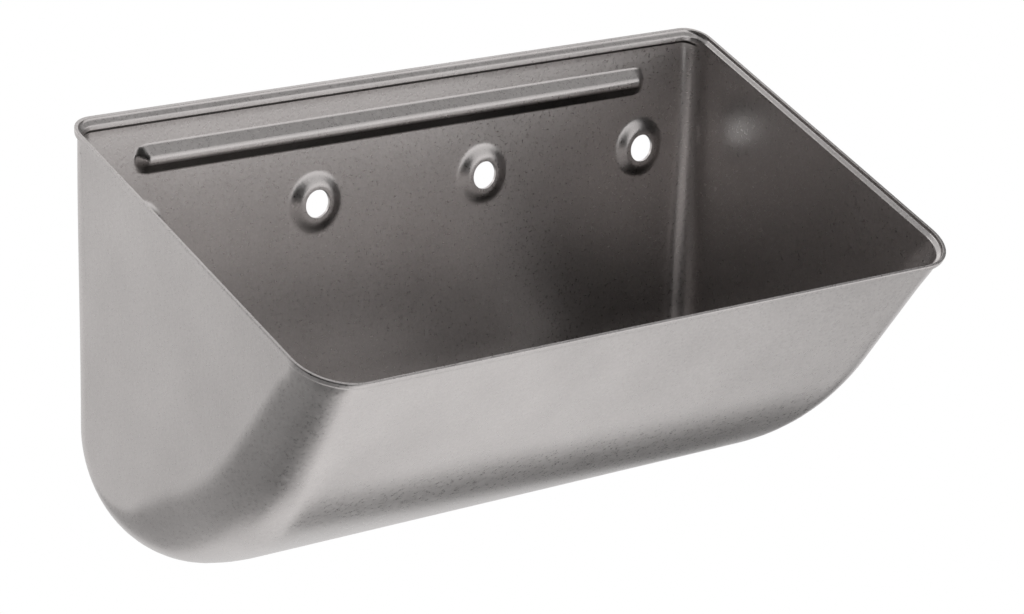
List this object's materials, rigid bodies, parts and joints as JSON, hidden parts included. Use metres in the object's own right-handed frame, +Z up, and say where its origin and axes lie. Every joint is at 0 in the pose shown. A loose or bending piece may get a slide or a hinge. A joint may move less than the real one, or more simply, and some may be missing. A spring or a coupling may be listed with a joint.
{
  "type": "conveyor elevator bucket",
  "caption": "Deep-drawn one-piece sheet-steel elevator bucket with a sloping mouth, joggled rim, back stiffening bead and a row of dished bolt holes.",
  "frame": {"origin": "middle of the bolt row, on the plane of the back face that lies against the belt", "axes": "+X along the width, +Y out of the back face into the belt, -Y towards the lip, +Z up along the belt"},
  "size_m": [0.3, 0.16, 0.159],
  "materials": {
    "bare_steel": "satin mill finish of a drawn cold-rolled sheet, with fine mottled grain"
  },
  "bodies": {
    "root": {"bucket_body": "bare_steel"}
  },
  "joints": []
}
